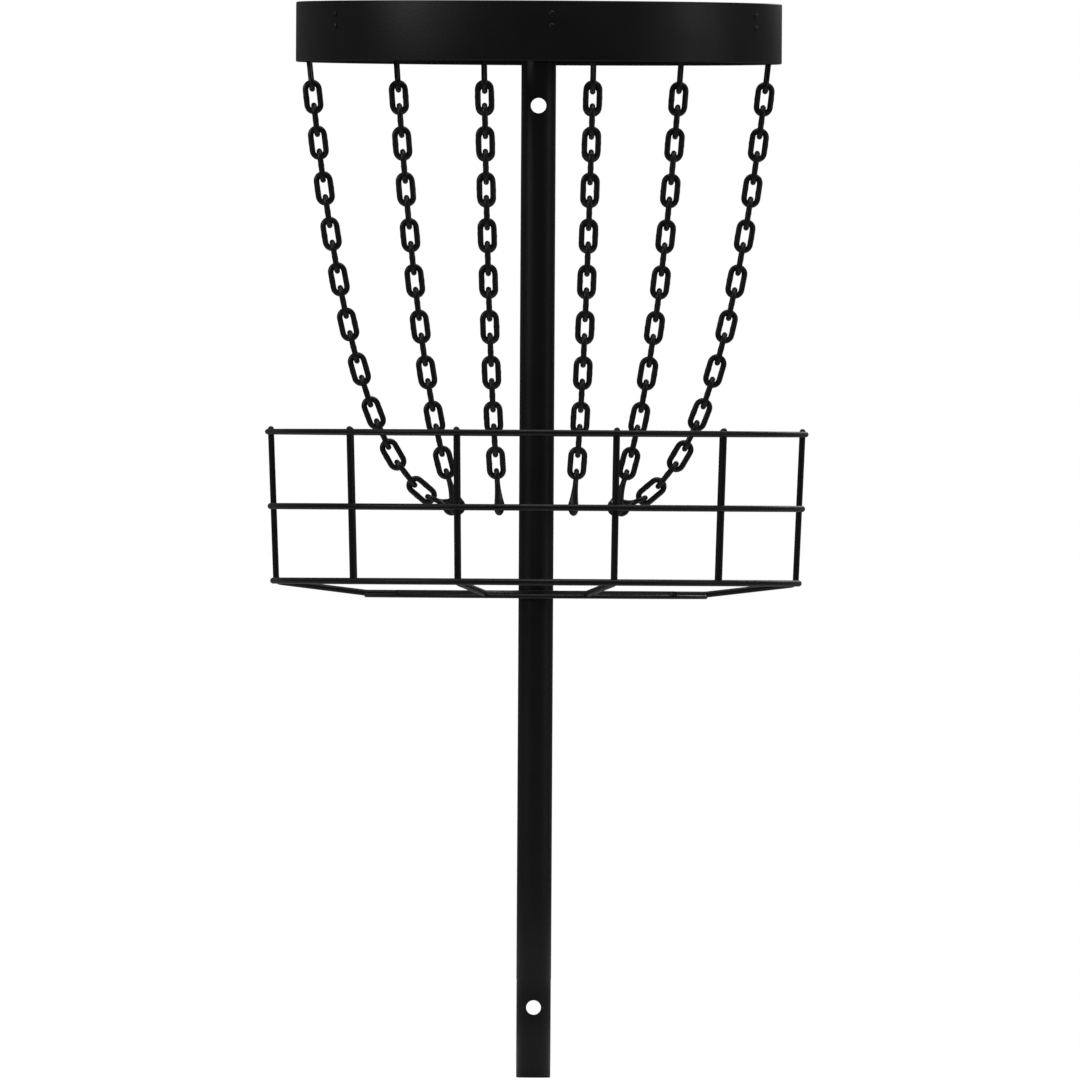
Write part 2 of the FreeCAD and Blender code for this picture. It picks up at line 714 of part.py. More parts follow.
def make_cage_ribs():
    """Ribs bent from one wire: along the floor, up its slope, then up the leaning side."""
    def point(radius, height):
        return Vector(0, -radius, height)

    hub = point(size("collar_bore_radius"), size("floor_height"))
    slope = point(size("floor_radius"), size("floor_height"))
    corner = point(size("rib_corner_radius"), size("rib_corner_height"))
    top = point(size("rib_top_radius"), size("rib_top_height"))
    low_bend, low_start, low_end = bend_corner(hub, slope, corner, size("rib_floor_bend"))
    high_bend, high_start, high_end = bend_corner(slope, corner, top, size("rib_corner_bend"))
    path = [
        Part.makeLine(hub, low_start),
        low_bend,
        Part.makeLine(low_end, high_start),
        high_bend,
        Part.makeLine(high_end, top),
    ]
    rib = finish_wire(round_bar(path, size("rib_wire_radius")))
    inner, outer = size("inner_rib_azimuth"), size("outer_rib_azimuth")
    solid_feature("cage_ribs", around(rib, [inner, outer, 180 - inner, 180 + inner, -outer, -inner]))

    lean = (top - corner).normalize()
    base = corner + lean * ((size("upright_base") - corner.z) / lean.z)
    upright = finish_wire(round_bar([Part.makeLine(base, top)], size("rib_wire_radius")))
    turn = size("upright_azimuth")
    solid_feature("cage_uprights", around(upright, [turn, 180 - turn, 180 + turn, -turn]))

    outer_end = point(size("floor_radius") + size("rib_wire_radius"), size("floor_height"))
    spoke = round_bar([Part.makeLine(hub, outer_end)], size("rib_wire_radius")).cut(weld_seats())
    spoke = max(spoke.Solids, key=lambda solid: solid.Volume)
    turn = size("floor_spoke_azimuth")
    solid_feature("floor_spokes", around(spoke, [turn, 180 - turn, 180 + turn, -turn]))


def make_basket_hub():
    body = turned_body("basket_hub_body", [
        ("sizes.collar_bore_radius", "sizes.basket_hub_base"),
        ("sizes.basket_hub_radius", "sizes.basket_hub_base"),
        ("sizes.basket_hub_radius", "sizes.basket_hub_base + sizes.basket_hub_height"),
        ("sizes.collar_bore_radius", "sizes.basket_hub_base + sizes.basket_hub_height"),
    ])
    middle = "sizes.basket_hub_base + sizes.basket_hub_height / 2"
    drill(body, "grub_holes", [("sizes.grub_radius + sizes.weld_gap", ("0", middle))])
    sub_part(body, "basket_hub")


def make_basket_hub_screws():
    """Two headless socket screws, front and back, that bear on the pole."""
    height = size("basket_hub_base") + size("basket_hub_height") / 2
    inner = size("pole_radius") + size("weld_gap")
    outer = inner + size("grub_length")
    forward = Vector(0, -1, 0)
    depth = size("grub_socket_depth")
    tip = Vector(0, -inner, height)
    socket_start = Vector(0, -outer + depth, height)
    screw = Part.makeCylinder(size("grub_radius"), size("grub_length"), tip, forward)
    socket = Part.makeCylinder(size("grub_socket_radius"), depth + 1, socket_start, forward)
    solid_feature("basket_hub_screws", around(screw.cut(socket), [0, 180]))


# ---- build, check and write ----

def check_document():
    """Stop on any object that failed and on any sub-part without a sound shape."""
    for thing in doc.Objects:
        if "Invalid" in thing.State or "Error" in thing.State:
            raise RuntimeError(f"{thing.Name} is {thing.State}")
    for part in PARTS:
        if part.Shape.isNull() or not part.Shape.isValid() or not part.Shape.Solids:
            raise RuntimeError(f"{part.Label} has no valid shape")


def main():
    make_pole()
    make_pole_cap()
    make_support_hub()
    make_support_bolt()
    make_support_arms()
    make_top_band()
    make_band_rivets()
    make_hanger_rings()
    make_chain_eyes()
    make_chains()
    make_cage_rings()
    make_cage_ribs()
    make_basket_hub()
    make_basket_hub_screws()
    doc.recompute()
    check_document()
    os.makedirs("parts", exist_ok=True)
    for part in PARTS:
        part.Shape.exportStep(f"parts/{part.Label}.step")
        print(part.Label, len(part.Shape.Solids), round(part.Shape.Volume, 1))


main()
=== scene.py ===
import itertools
import json
import math
import random
from collections import namedtuple

import bpy
import numpy as np
from mathutils import Matrix, Vector

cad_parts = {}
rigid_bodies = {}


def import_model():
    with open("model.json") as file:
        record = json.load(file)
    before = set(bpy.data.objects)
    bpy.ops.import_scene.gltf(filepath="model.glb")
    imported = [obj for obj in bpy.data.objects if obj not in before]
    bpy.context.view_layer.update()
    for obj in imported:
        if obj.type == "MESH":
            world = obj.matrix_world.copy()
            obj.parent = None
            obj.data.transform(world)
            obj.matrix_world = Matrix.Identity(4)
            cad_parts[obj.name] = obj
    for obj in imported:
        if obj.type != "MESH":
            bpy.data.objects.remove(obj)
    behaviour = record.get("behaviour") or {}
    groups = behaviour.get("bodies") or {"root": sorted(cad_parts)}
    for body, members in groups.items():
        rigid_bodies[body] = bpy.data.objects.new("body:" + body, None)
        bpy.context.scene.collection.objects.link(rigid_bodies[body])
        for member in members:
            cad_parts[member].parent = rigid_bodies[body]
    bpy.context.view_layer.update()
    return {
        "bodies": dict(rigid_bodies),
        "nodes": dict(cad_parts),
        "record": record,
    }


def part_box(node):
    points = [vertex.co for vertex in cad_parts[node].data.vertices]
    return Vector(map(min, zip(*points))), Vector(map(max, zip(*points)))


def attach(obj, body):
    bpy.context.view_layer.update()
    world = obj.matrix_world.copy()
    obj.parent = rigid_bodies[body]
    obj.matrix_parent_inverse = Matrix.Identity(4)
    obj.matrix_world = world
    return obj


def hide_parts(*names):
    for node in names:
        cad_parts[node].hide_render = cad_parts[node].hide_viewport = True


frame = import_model()

NODES = frame["nodes"]
RECORD = frame["record"]
CHAIN_COUNT = sum(1 for name in frame["bodies"] if name.startswith("chain_") and name[6:].isdigit())

MM = 0.001
FULL_TURN = 2 * math.pi
QUARTER_TURN = math.pi / 2
RIGHT = Vector((1, 0, 0))
BACK = Vector((0, 1, 0))
UP = Vector((0, 0, 1))

# Corners of a CAD mesh that agree to this many decimals of a metre count as one.
CORNER_DECIMALS = 6

# The pole is turned down a little over this length at its foot.
FOOT_LENGTH = 120 * MM

# The camera: the height it takes in and the point it looks at, in metres, its roll in degrees, its lens and
# its sensor's width in millimetres. The lens is very long, so that near and far sides look the same size.
VIEW_HEIGHT = 1.3176
AIM_X = 0.0047
AIM_Z = 0.6558
ROLL = -0.32
LENS = 1600.0
SENSOR_WIDTH = 36.0

# Strength of the surroundings: as the camera sees them, and as they light the object.
WHITE = 1.0
WORLD_LIGHT = 0.14


# ---- places and sizes, read from the frame ----

def box(node):
    """Lowest and highest corner of a CAD node at rest, as vectors in metres."""
    low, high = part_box(node)
    return Vector(low), Vector(high)


def ring_size(node):
    """Centreline radius, wire radius and height of a wire ring."""
    low, high = box(node)
    wire = (high.z - low.z) / 2
    return (high.x - low.x) / 2 - wire, wire, (high.z + low.z) / 2


def node_mesh(node):
    """Unique corners of a CAD node's mesh, and each of its edges as a pair of their numbers."""
    mesh = NODES[node].data
    coords = np.empty(len(mesh.vertices) * 3)
    mesh.vertices.foreach_get("co", coords)
    edges = np.empty(len(mesh.edges) * 2, dtype=np.int64)
    mesh.edges.foreach_get("vertices", edges)
    rounded = np.round(coords.reshape(-1, 3), CORNER_DECIMALS)
    points, number = np.unique(rounded, axis=0, return_inverse=True)
    return points, number.reshape(-1)[edges].reshape(-1, 2)


def solids_of(node):
    """The separate solids of a CAD node, each as an array of its corners."""
    points, edges = node_mesh(node)
    label = np.arange(len(points))
    while True:
        lowest = np.minimum(label[edges[:, 0]], label[edges[:, 1]])
        before = label.copy()
        np.minimum.at(label, edges[:, 0], lowest)
        np.minimum.at(label, edges[:, 1], lowest)
        label = label[label]
        if np.array_equal(before, label):
            break
    return [points[label == value] for value in np.unique(label)]


def axis_distance(points):
    """Distance of each point from the pole's axis."""
    return np.hypot(points[:, 0], points[:, 1])


def azimuth_of(points):
    """Azimuth of a solid's middle: 0 at the front (-Y), growing towards +X."""
    middle = points.mean(axis=0)
    return math.atan2(middle[0], -middle[1])


def at_azimuth(radius, azimuth, height):
    return Vector((radius * math.sin(azimuth), -radius * math.cos(azimuth), height))


def ring_axes(azimuth):
    """Outward and tangent unit vectors at an azimuth."""
    return at_azimuth(1, azimuth, 0), at_azimuth(1, azimuth + math.pi / 2, 0)


# ---- mesh building ----

class Shape:
    """Collects quads and triangles from several builders into one mesh."""

    def __init__(self):
        self.points = []
        self.faces = []
        self.worn = []

    def add(self, points, faces, worn=None):
        start = len(self.points)
        self.points.extend(tuple(point) for point in points)
        self.faces.extend(tuple(index + start for index in face) for face in faces)
        self.worn.extend(worn if worn is not None else [0.0] * len(points))

    def make(self, name, body, slot, replaced=(), smooth_angle=40.0):
        """Make the piece, in its slot's material, riding on a body and standing in for CAD nodes."""
        mesh = bpy.data.meshes.new(name)
        mesh.from_pydata(self.points, [], self.faces)
        mesh.validate()
        wear = mesh.attributes.new("worn", "FLOAT", "POINT")
        wear.data.foreach_set("value", self.worn)
        mesh.polygons.foreach_set("use_smooth", [True] * len(mesh.polygons))
        mesh.update()
        mesh.set_sharp_from_angle(angle=math.radians(smooth_angle))
        piece = bpy.data.objects.new(name, mesh)
        bpy.context.collection.objects.link(piece)
        mesh.materials.append(MATERIALS[slot])
        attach(piece, body)
        if replaced:
            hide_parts(*replaced)


def grid_faces(rows, columns, first=0, close_rows=False):
    """Quads between rows of points, each row a closed loop of columns points.

    On turned shapes and most links they face inward, which the materials here don't show.
    """
    faces = []
    for row in range(rows if close_rows else rows - 1):
        here = first + row * columns
        there = first + (row + 1) % rows * columns
        for column in range(columns):
            after = (column + 1) % columns
            faces.append((here + column, here + after, there + after, there + column))
    return faces


def capped_faces(rows, columns):
    """Quads between rows of points, and fans to a single point before the rows and one after them."""
    last = 1 + rows * columns
    tail = last - columns
    neighbours = [(column, (column + 1) % columns) for column in range(columns)]
    first_fan = [(0, 1 + after, 1 + column) for column, after in neighbours]
    last_fan = [(last, tail + column, tail + after) for column, after in neighbours]
    return first_fan + grid_faces(rows, columns, first=1) + last_fan


def lathe(outline, segments):
    """Turn a closed outline of (radius, height) about the pole's axis."""
    points = []
    for step in range(segments):
        angle = FULL_TURN * step / segments
        points.extend(at_azimuth(radius, angle, height) for radius, height in outline)
    return points, grid_faces(segments, len(outline), close_rows=True)


def lathe_solid(profile, segments, centre, side, axis):
    """Turn a profile of (radius, place along the axis), whose two ends lie on the axis, about any axis."""
    other = axis.cross(side)

    def place(x, y, along):
        return centre + side * x + other * y + axis * along

    points = [place(0, 0, profile[0][1])]
    for radius, along in profile[1:-1]:
        for step in range(segments):
            angle = FULL_TURN * step / segments
            points.append(place(radius * math.cos(angle), radius * math.sin(angle), along))
    points.append(place(0, 0, profile[-1][1]))
    return points, capped_faces(len(profile) - 2, segments)


def rounded_outline(corners, radius, steps=4, longest_cut=0.45):
    """Round every corner of a closed (radius, height) outline, with a limit on the share of a side cut."""
    outline = []
    count = len(corners)
    for index, corner in enumerate(corners):
        here = Vector(corner)
        before = Vector(corners[index - 1]) - here
        after = Vector(corners[(index + 1) % count]) - here
        cut = min(radius, before.length * longest_cut, after.length * longest_cut)
        start = here + before.normalized() * cut
        finish = here + after.normalized() * cut
        for step in range(steps + 1):
            t = step / steps
            outline.append(tuple(start.lerp(here, t).lerp(here.lerp(finish, t), t)))
    return outline


def blob(centre, axes, sizes, seed, rough, rows=9, columns=14):
    """A small lump of weld metal: an ellipsoid with an uneven skin."""
    source = random.Random(seed)
    wave_count = 3
    fewest, most = 1.5, 3.5
    largest_phase = 6.3
    waves = []
    for _ in range(wave_count):
        down = source.uniform(fewest, most)
        across = round(source.uniform(fewest, most))
        phase = source.uniform(0, largest_phase)
        waves.append((down, across, phase))

    def reach(polar, around):
        """How far out the skin lies, as a share of the even ellipsoid."""
        total = 0.0
        for down, across, phase in waves:
            total += math.sin(down * polar + phase) * math.cos(across * around + phase)
        return 1 + rough * total / wave_count

    def place(polar, around):
        scale = reach(polar, around)
        parts = (math.sin(polar) * math.cos(around), math.sin(polar) * math.sin(around), math.cos(polar))
        offsets = (axis * (size * part * scale) for axis, size, part in zip(axes, sizes, parts))
        return centre + sum(offsets, Vector())

    points = [place(0, 0)]
    for row in range(1, rows):
        points.extend(place(math.pi * row / rows, FULL_TURN * column / columns) for column in range(columns))
    points.append(place(math.pi, 0))
    # the faces are turned over here, so that they face outward
    return points, [face[:1] + face[:0:-1] for face in capped_faces(rows - 1, columns)]


def weld_run(shape, start, finish, radius, pitch, seed):
    """A weld laid as overlapping ripples along a straight corner, each a little different in size."""
    smallest, largest = 0.92, 1.08
    flatness = 0.8
    length = (finish - start).length
    along = (finish - start).normalized()
    side = along.orthogonal().normalized()
    axes = (side, along.cross(side), along)
    count = max(2, int(length / pitch))
    for index in range(count + 1):
        ripple = seed * 1000 + index
        size = radius * random.Random(ripple).uniform(smallest, largest)
        sizes = (size, size, size * flatness)
        centre = start.lerp(finish, index / count)
        shape.add(*blob(centre, axes, sizes, ripple, rough=0.05, rows=7, columns=12))


# ---- materials ----

class Shader:
    """Short ways to add and join shader nodes. Scales are in features per metre."""

    def __init__(self, name):
        self.material = bpy.data.materials.new(name)
        self.material.use_nodes = True
        self.tree = self.material.node_tree
        self.main = self.tree.nodes["Principled BSDF"]
        self.coords = self.tree.nodes.new("ShaderNodeTexCoord").outputs["Object"]

    def node(self, kind, **inputs):
        made = self.tree.nodes.new(kind)
        for name, value in inputs.items():
            self.set(made.inputs[name.replace("_", " ")], value)
        return made

    def set(self, socket, value):
        if isinstance(value, bpy.types.NodeSocket):
            self.tree.links.new(value, socket)
        else:
            socket.default_value = value

    def noise(self, scale, detail=2.0, roughness=0.5):
        settings = {"Scale": scale, "Detail": detail, "Roughness": roughness}
        return self.node("ShaderNodeTexNoise", Vector=self.coords, **settings).outputs["Fac"]

    def spread(self, value, low, high, to_low=0.0, to_high=1.0):
        """Map a value from one range to another, clamped."""
        made = self.node("ShaderNodeMapRange", Value=value)
        for name, number in zip(("From Min", "From Max", "To Min", "To Max"), (low, high, to_low, to_high)):
            self.set(made.inputs[name], number)
        return made.outputs["Result"]

    def math(self, operation, first, second):
        made = self.tree.nodes.new("ShaderNodeMath")
        made.operation = operation
        self.set(made.inputs[0], first)
        self.set(made.inputs[1], second)
        return made.outputs["Value"]

    def mix(self, factor, first, second):
        """Mix two colours. The Mix node's colour sockets can only be told apart by their places."""
        made = self.tree.nodes.new("ShaderNodeMix")
        made.data_type = "RGBA"
        self.set(made.inputs["Factor"], factor)
        self.set(made.inputs[6], first)
        self.set(made.inputs[7], second)
        return made.outputs[2]

    def bump(self, height, distance, strength, normal=None):
        made = self.node("ShaderNodeBump", Height=height, Distance=distance, Strength=strength)
        if normal is not None:
            self.set(made.inputs["Normal"], normal)
        return made.outputs["Normal"]

    def attribute(self, name):
        made = self.tree.nodes.new("ShaderNodeAttribute")
        made.attribute_name = name
        return made.outputs["Fac"]

    def finish(self, **inputs):
        for name, value in inputs.items():
            self.set(self.main.inputs[name.replace("_", " ")], value)
        return self.material


def rgb(red, green, blue):
    return (red, green, blue, 1.0)


def dust_on_top(shader, amount):
    """How much fine dust lies on a point: more where the surface faces up, in soft patches."""
    normal = shader.tree.nodes.new("ShaderNodeNewGeometry").outputs["Normal"]
    split = shader.node("ShaderNodeSeparateXYZ", Vector=normal)
    facing_up = shader.spread(split.outputs["Z"], 0.25, 1.0)
    patches = shader.spread(shader.noise(28.0, detail=4.0, roughness=0.6), 0.35, 0.7)
    return shader.math("MULTIPLY", shader.math("MULTIPLY", facing_up, patches), amount)


def powder_coat(name):
    """Matt black powder coat: orange peel, a fine grain, uneven sheen and a little dust."""
    shader = Shader(name)
    deep, pale = rgb(0.0030, 0.0034, 0.0029), rgb(0.0046, 0.0050, 0.0043)
    dust = rgb(0.10, 0.095, 0.085)
    tone = shader.mix(shader.noise(6.0, detail=3.0), deep, pale)
    tone = shader.mix(dust_on_top(shader, amount=0.16), tone, dust)
    sheen = shader.noise(9.0, detail=4.0, roughness=0.6)
    roughness = shader.spread(sheen, 0.3, 0.7, to_low=0.34, to_high=0.50)
    peel = shader.bump(shader.noise(420.0, detail=1.0), distance=0.16 * MM, strength=0.7)
    grain = shader.bump(shader.noise(2600.0), distance=0.02 * MM, strength=0.5, normal=peel)
    return shader.finish(Base_Color=tone, Roughness=roughness, Normal=grain, Specular_IOR_Level=0.24)


def plated_wire(name):
    """Black-plated steel wire, brighter where the mesh is marked as worn by rubbing."""
    shader = Shader(name)
    deep, pale = rgb(0.012, 0.0125, 0.0118), rgb(0.028, 0.0285, 0.0272)
    bare = rgb(0.30, 0.295, 0.28)
    pits = shader.noise(900.0, detail=3.0, roughness=0.6)
    tone = shader.mix(shader.noise(60.0, detail=4.0, roughness=0.6), deep, pale)
    rubbed = shader.math("MULTIPLY", shader.attribute("worn"), shader.spread(pits, 0.35, 0.6))
    tone = shader.mix(rubbed, tone, bare)
    roughness = shader.spread(shader.noise(140.0, detail=3.0), 0.3, 0.7, to_low=0.28, to_high=0.44)
    roughness = shader.math("SUBTRACT", roughness, shader.math("MULTIPLY", rubbed, 0.1))
    skin = shader.bump(pits, distance=0.06 * MM, strength=0.5)
    return shader.finish(Base_Color=tone, Metallic=0.7, Roughness=roughness, Normal=skin)


def black_oxide(name):
    """Black-oxide fasteners: dark, slightly oily steel with a fine grain."""
    shader = Shader(name)
    deep, pale = rgb(0.012, 0.012, 0.012), rgb(0.026, 0.026, 0.025)
    tone = shader.mix(shader.noise(220.0, detail=3.0), deep, pale)
    roughness = shader.spread(shader.noise(500.0), 0.3, 0.7, to_low=0.32, to_high=0.48)
    grain = shader.bump(shader.noise(1500.0), distance=0.03 * MM, strength=0.4)
    return shader.finish(Base_Color=tone, Metallic=0.8, Roughness=roughness, Normal=grain)


def moulded_plastic(name):
    """Black moulded plastic with a fine spark-eroded grain and a little dust."""
    shader = Shader(name)
    black, dust = rgb(0.008, 0.008, 0.008), rgb(0.08, 0.078, 0.07)
    tone = shader.mix(dust_on_top(shader, amount=0.2), black, dust)
    grain = shader.bump(shader.noise(1800.0, detail=3.0, roughness=0.7), distance=0.05 * MM, strength=0.6)
    return shader.finish(Base_Color=tone, Roughness=0.62, Normal=grain)


BUILDERS = {
    "powder_coat": powder_coat,
    "chain_steel": plated_wire,
    "hook_wire": plated_wire,
    "fastener_steel": black_oxide,
    "cap_plastic": moulded_plastic,
}
MATERIALS = {slot: build(slot) for slot, build in BUILDERS.items()}

# The CAD nodes whose sharp edges are bevelled, and the bevel's width in millimetres.
SOFT_EDGES = {
    "support_arms": 0.6,
    "support_hub_bolt": 0.4,
    "support_hub_nut": 0.4,
    "basket_hub_screws": 0.2,
}


def finish_cad_nodes():
    """Give each CAD node its slot's material, and bevel the sharp edges of some."""
    for entry in RECORD["subparts"]:
        node = NODES[entry["node"]]
        node.data.materials.clear()
        node.data.materials.append(MATERIALS[entry["material_slot"]])
        if entry["node"] in SOFT_EDGES:
            soften(node, SOFT_EDGES[entry["node"]] * MM)


def soften(node, width):
    """Join the mesh's split corners, then bevel what is sharp."""
    weld = node.modifiers.new("join_split_corners", "WELD")
    weld.merge_threshold = 0.01 * MM
    bevel = node.modifiers.new("soft_edges", "BEVEL")
    bevel.width = width
    bevel.segments = 2
    bevel.limit_method = "ANGLE"
    bevel.angle_limit = math.radians(35)
    bevel.harden_normals = True


# ---- pole ----

# The tube is a grid: rows follow its outline up the outside and down the bore, and columns go round it. Where
# a cross hole goes through, a square patch is left out in front and behind, in both walls, and filled with
# rings that lead from the outer patch's edge over the hole's rim, through it, and to the inner patch's edge.
PATCH_STEPS = 16
SIDE_STEPS = 40
PATCH_COLUMNS = (0, PATCH_STEPS + SIDE_STEPS)
PATCH_MARGIN = 1.36    # half a patch's width over the larger hole's radius
EDGE_SOFTNESS = 0.35 * MM

Patch = namedtuple("Patch", "first_row height hole_radius wall")
RimRow = namedtuple("RimRow", "radius depth blend wall")


def pole_columns(patch_angle):
    """Azimuth divisions of the pole: patches in front and behind for the holes, and plain sides."""
    front = [-patch_angle + 2 * patch_angle * step / PATCH_STEPS for step in range(PATCH_STEPS)]
    side = math.pi - 2 * patch_angle
    right = [patch_angle + side * step / SIDE_STEPS for step in range(SIDE_STEPS)]
    return front + right + [angle + math.pi for angle in front + right]


def pole_outline(bore, foot, tube, top, holes, half_patch):
    """The tube's outline as (radius, height), and the patch of each hole; holes are (height, radius)."""
    chamfer = 1.0 * MM
    step_width = 0.1 * MM
    outside = [(foot - chamfer, 0.0), (foot, chamfer)]
    inside = [(bore + EDGE_SOFTNESS, 0.0), (bore, EDGE_SOFTNESS)]
    patches = []

    def add_row(level, wall):
        outside.append((wall, level))
        inside.append((bore, level))

    for height, hole_radius in holes:
        in_foot = height < FOOT_LENGTH
        wall = foot if in_foot else tube
        patches.append(Patch(len(outside), height, hole_radius, wall))
        for step in range(PATCH_STEPS + 1):
            add_row(height - half_patch + 2 * half_patch * step / PATCH_STEPS, wall)
        if in_foot:
            add_row(FOOT_LENGTH - EDGE_SOFTNESS, foot)
            add_row(FOOT_LENGTH + step_width, tube - step_width)
            add_row(FOOT_LENGTH + EDGE_SOFTNESS, tube)
            # one more plain row breaks up the long stretch above the step
            add_row(FOOT_LENGTH * 2, tube)
    add_row(top - EDGE_SOFTNESS, tube)
    outside.append((tube - EDGE_SOFTNESS, top))
    inside.append((bore + EDGE_SOFTNESS, top))
    return outside + inside[::-1], patches


def wall_faces(rows, columns, patches):
    """Quads of the tube's grid, without its patches."""
    skipped = set()
    for patch in patches:
        for row in range(patch.first_row, patch.first_row + PATCH_STEPS):
            skipped.update((row, rows - 2 - row))
    opening = {first + step for first in PATCH_COLUMNS for step in range(PATCH_STEPS)}
    faces = []
    for face in grid_faces(rows, columns, close_rows=True):
        row, column = divmod(face[0], columns)
        if row not in skipped or column not in opening:
            faces.append(face)
    return faces


def patch_loop(columns, first_row, first_column):
    """Numbers of the grid corners round one outer patch, anticlockwise from its lower left corner."""
    last_row, last_column = first_row + PATCH_STEPS, first_column + PATCH_STEPS
    lower = [(first_row, column) for column in range(first_column, last_column)]
    right = [(row, last_column) for row in range(first_row, last_row)]
    upper = [(last_row, column) for column in range(last_column, first_column, -1)]
    left = [(row, first_column) for row in range(last_row, first_row, -1)]
    return [row * columns + column % columns for row, column in lower + right + upper + left]


def rim_rows(patch, bore):
    """Rows from a patch's edge in the outer wall, over the hole's rim, to its edge in the bore.

    Each row has a radius about the hole's axis, a depth beyond its wall, a blend from that radius to the
    patch's edge, and the wall's own radius.
    """
    soft = EDGE_SOFTNESS
    radius, wall = patch.hole_radius, patch.wall
    steps = 4
    outer_rim, inner_rim = [], []
    for step in range(steps + 1):
        turn = QUARTER_TURN * step / steps
        flare = radius + soft * (1 - math.sin(turn))
        sink = soft * (1 - math.cos(turn))
        outer_rim.append(RimRow(flare, -sink, 0.0, wall))
        inner_rim.append(RimRow(flare, sink, 0.0, bore))
    outer_spread = RimRow(radius + soft, 0.0, 0.5, wall)
    inner_spread = RimRow(radius + soft, 0.0, 0.5, bore)
    return [outer_spread] + outer_rim + inner_rim[::-1] + [inner_spread]


def rim_point(row, edge, height, side):
    """The point of a rim row that lies towards one corner of the patch's edge; side is -1 at the front."""
    rise = edge.z - height
    turn = math.atan2(rise, edge.x)
    x, z = row.radius * math.cos(turn), row.radius * math.sin(turn)
    x, z = x + (edge.x - x) * row.blend, z + (rise - z) * row.blend
    return Vector((x, side * (math.sqrt(row.wall ** 2 - x * x) + row.depth), height + z))


def add_hole(vertices, faces, patch, bore, side, outer_loop, inner_loop):
    """Fill one patch, adding to the vertices and faces."""
    rings = [outer_loop]
    for row in rim_rows(patch, bore):
        edges = outer_loop if row.wall == patch.wall else inner_loop
        start = len(vertices)
        vertices.extend([rim_point(row, vertices[index], patch.height, side) for index in edges])
        rings.append(list(range(start, len(vertices))))
    rings.append(inner_loop)
    for first, second in zip(rings, rings[1:]):
        for step in range(len(first)):
            after = (step + 1) % len(first)
            faces.append((first[step], first[after], second[after], second[step]))


def make_pole():
    """Tube with its turned-down foot and two cross holes, every edge softened."""
    _, high = box("pole")
    points, _ = node_mesh("pole")
    distance = axis_distance(points)
    bore = distance.min()
    well_below_step = points[:, 2] < FOOT_LENGTH * 0.9
    foot = distance[well_below_step].max()
    bores = [mount for mount in RECORD["mounts"] if mount["kind"] == "bore"]
    holes = sorted((mount["pos_m"][2], mount["dims"]["r_mm"] * MM) for mount in bores)
    half_patch = max(radius for _, radius in holes) * PATCH_MARGIN

    outline, patches = pole_outline(bore, foot, high.x, high.z, holes, half_patch)
    angles = pole_columns(math.asin(half_patch / foot))
    rows, columns = len(outline), len(angles)
    vertices = [at_azimuth(radius, angle, level) for radius, level in outline for angle in angles]
    faces = wall_faces(rows, columns, patches)
    for patch in patches:
        for side, first_column in zip((-1, 1), PATCH_COLUMNS):
            outer_loop = patch_loop(columns, patch.first_row, first_column)
            inner_loop = [(rows - 1 - index // columns) * columns + index % columns for index in outer_loop]
            add_hole(vertices, faces, patch, bore, side, outer_loop, inner_loop)
    shape = Shape()
    shape.add(vertices, faces)
    shape.make("pole_tube", "frame", "powder_coat", ["pole"], smooth_angle=50)


# ---- top of the basket ----

def make_band():
    """Sheet band with its two edges folded in as narrow hems."""
    low, high = box("top_band")
    outside = high.x
    sheet = 1.5 * MM
    hem = 8.0 * MM
    fold = 1.6 * MM
    gap = 0.15 * MM
    lip_corner = 0.3 * MM
    inside = outside - sheet
    inner = outside - 2 * sheet - gap
    steps = 6
    turns = [QUARTER_TURN * step / steps for step in range(steps + 1)]

    def hem_turn(edge, sign):
        """The fold: from the outer skin over the edge to the hem's free lip. The sign is 1 at the top."""
        centre = edge - sign * fold
        lip = edge - sign * hem
        points = []
        for turn in turns:
            points.append((outside - fold + fold * math.cos(turn), centre + sign * fold * math.sin(turn)))
        for turn in turns:
            points.append((inner + fold - fold * math.sin(turn), centre + sign * fold * math.cos(turn)))
        points.extend([(inner, lip + sign * lip_corner), (inner + lip_corner, lip), (inner + sheet, lip)])
        return points

    top = hem_turn(high.z, 1)
    bottom = hem_turn(low.z, -1)
    wall = [(inside, high.z - hem - gap), (inside, low.z + hem + gap)]
    shape = Shape()
    shape.add(*lathe(top + wall + bottom[::-1], segments=256))
    shape.make("top_band_sheet", "frame", "powder_coat", ["top_band"])


def rivet_profile(start, finish, head):
    """A rivet's profile from its domed head along the shank to its flat inner head."""
    height = 1.6 * MM
    shank = head * 0.5
    seat = finish - height
    steps = 8
    profile = [(0, finish)]
    for step in range(1, steps + 1):
        turn = QUARTER_TURN * step / steps
        profile.append((head * math.sin(turn), seat + height * math.cos(turn)))
    # under the dome to the shank, along the shank, and round the inner head's soft edge
    profile += [(head * 0.96, seat - 0.15 * MM), (shank, seat - 0.2 * MM)]
    profile += [(shank, start + height), (head * 0.94, start + height), (head, start + height * 0.7)]
    profile += [(head * 0.85, start + 0.2 * MM), (head * 0.4, start), (0, start)]
    return profile


def make_rivets():
    """Domed rivets through the band and the arms' tabs."""
    shape = Shape()
    for points in solids_of("band_rivets"):
        # a rivet stands beside its arm and runs parallel to it, so its own long direction gives its axis
        centre = points.mean(axis=0)
        spread = points - centre
        axis = Vector(np.linalg.eigh(spread.T @ spread)[1][:, 2])
        outward, _ = ring_axes(azimuth_of(points))
        if axis.dot(outward) < 0:
            axis.negate()
        side = axis.cross(UP).normalized()
        reach = spread @ np.array(axis)
        head = np.abs(spread @ np.array(side)).max()
        profile = rivet_profile(reach.min(), reach.max(), head)
        shape.add(*lathe_solid(profile, segments=24, centre=Vector(centre), side=side, axis=axis))
    shape.make("band_rivet_heads", "frame", "fastener_steel", ["band_rivets"])


